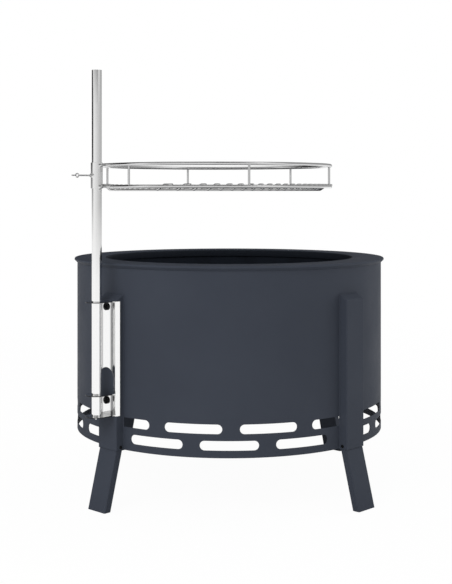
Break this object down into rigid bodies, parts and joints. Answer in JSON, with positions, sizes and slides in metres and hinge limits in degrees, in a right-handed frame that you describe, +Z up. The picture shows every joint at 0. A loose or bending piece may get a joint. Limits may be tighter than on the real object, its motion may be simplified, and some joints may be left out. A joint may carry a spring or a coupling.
{
  "type": "fire pit",
  "caption": "Round double-walled steel fire pit on splayed legs, with a slotted skirt and a round wire cooking grate that swings and slides on a side pole.",
  "frame": {"origin": "centre of the rim's flat top face, on the pit's axis; the ground is 446.9 mm below it", "axes": "+Z up along the pit's axis, -Y to the front as pictured, +X to the right; the pole stands outside the front left leg"},
  "size_m": [0.6212, 0.6967, 0.7977],
  "materials": {
    "dark_steel": "satin heat-proof powder coat, dark blue-grey",
    "chamber_steel": "matt black heat-proof coat, sooty",
    "fire_iron": "bare cast iron, matt",
    "black_screws": "black oxide, satin",
    "bright_steel": "polished stainless steel",
    "bright_wire": "polished stainless wire",
    "black_plug": "matt black plastic"
  },
  "bodies": {
    "pit": {"outer_shell": "dark_steel", "top_ring": "dark_steel", "fire_chamber": "chamber_steel", "chamber_floor": "chamber_steel", "wall_straps": "chamber_steel", "leg_screws": "black_screws", "pole_bracket": "bright_steel", "bracket_bolts": "black_screws", "bracket_nuts": "black_screws", "leg_channel_front_left": "dark_steel", "leg_front_left": "dark_steel", "leg_channel_front_right": "dark_steel", "leg_front_right": "dark_steel", "leg_channel_rear_right": "dark_steel", "leg_rear_right": "dark_steel", "leg_channel_rear_left": "dark_steel", "leg_rear_left": "dark_steel"},
    "pole": {"pole": "bright_steel", "pole_plug": "black_plug"},
    "cooking_grate": {"grate_collar": "bright_steel", "screw_boss": "bright_steel", "grate_lower_ring": "bright_wire", "grate_upper_ring": "bright_wire", "grate_posts": "bright_wire", "grate_rods": "bright_wire"},
    "lock_screw": {"lock_screw": "bright_wire"},
    "ash_pan": {"ash_pan": "chamber_steel"},
    "fire_grate": {"fire_grate": "fire_iron"}
  },
  "joints": [
    {"name": "pole_swivel", "type": "hinge", "parent": "pit", "child": "pole", "pos_m": [-0.24438, -0.24438, 0], "axis": [0, 0, 1], "continuous": true},
    {"name": "grate_height", "type": "slide", "parent": "pole", "child": "cooking_grate", "axis": [0, 0, 1], "range_m": [-0.12, 0.165]},
    {"name": "lock_screw_turn", "type": "hinge", "parent": "cooking_grate", "child": "lock_screw", "pos_m": [-0.27624, -0.27515, 0.1601], "axis": [-0.7193, -0.6947, 0], "range_deg": [0, 720]},
    {"name": "ash_pan_lift", "type": "slide", "parent": "pit", "child": "ash_pan", "axis": [0, 0, 1], "range_m": [0, 0.12]},
    {"name": "fire_grate_lift", "type": "slide", "parent": "ash_pan", "child": "fire_grate", "axis": [0, 0, 1], "range_m": [0, 0.12]}
  ]
}
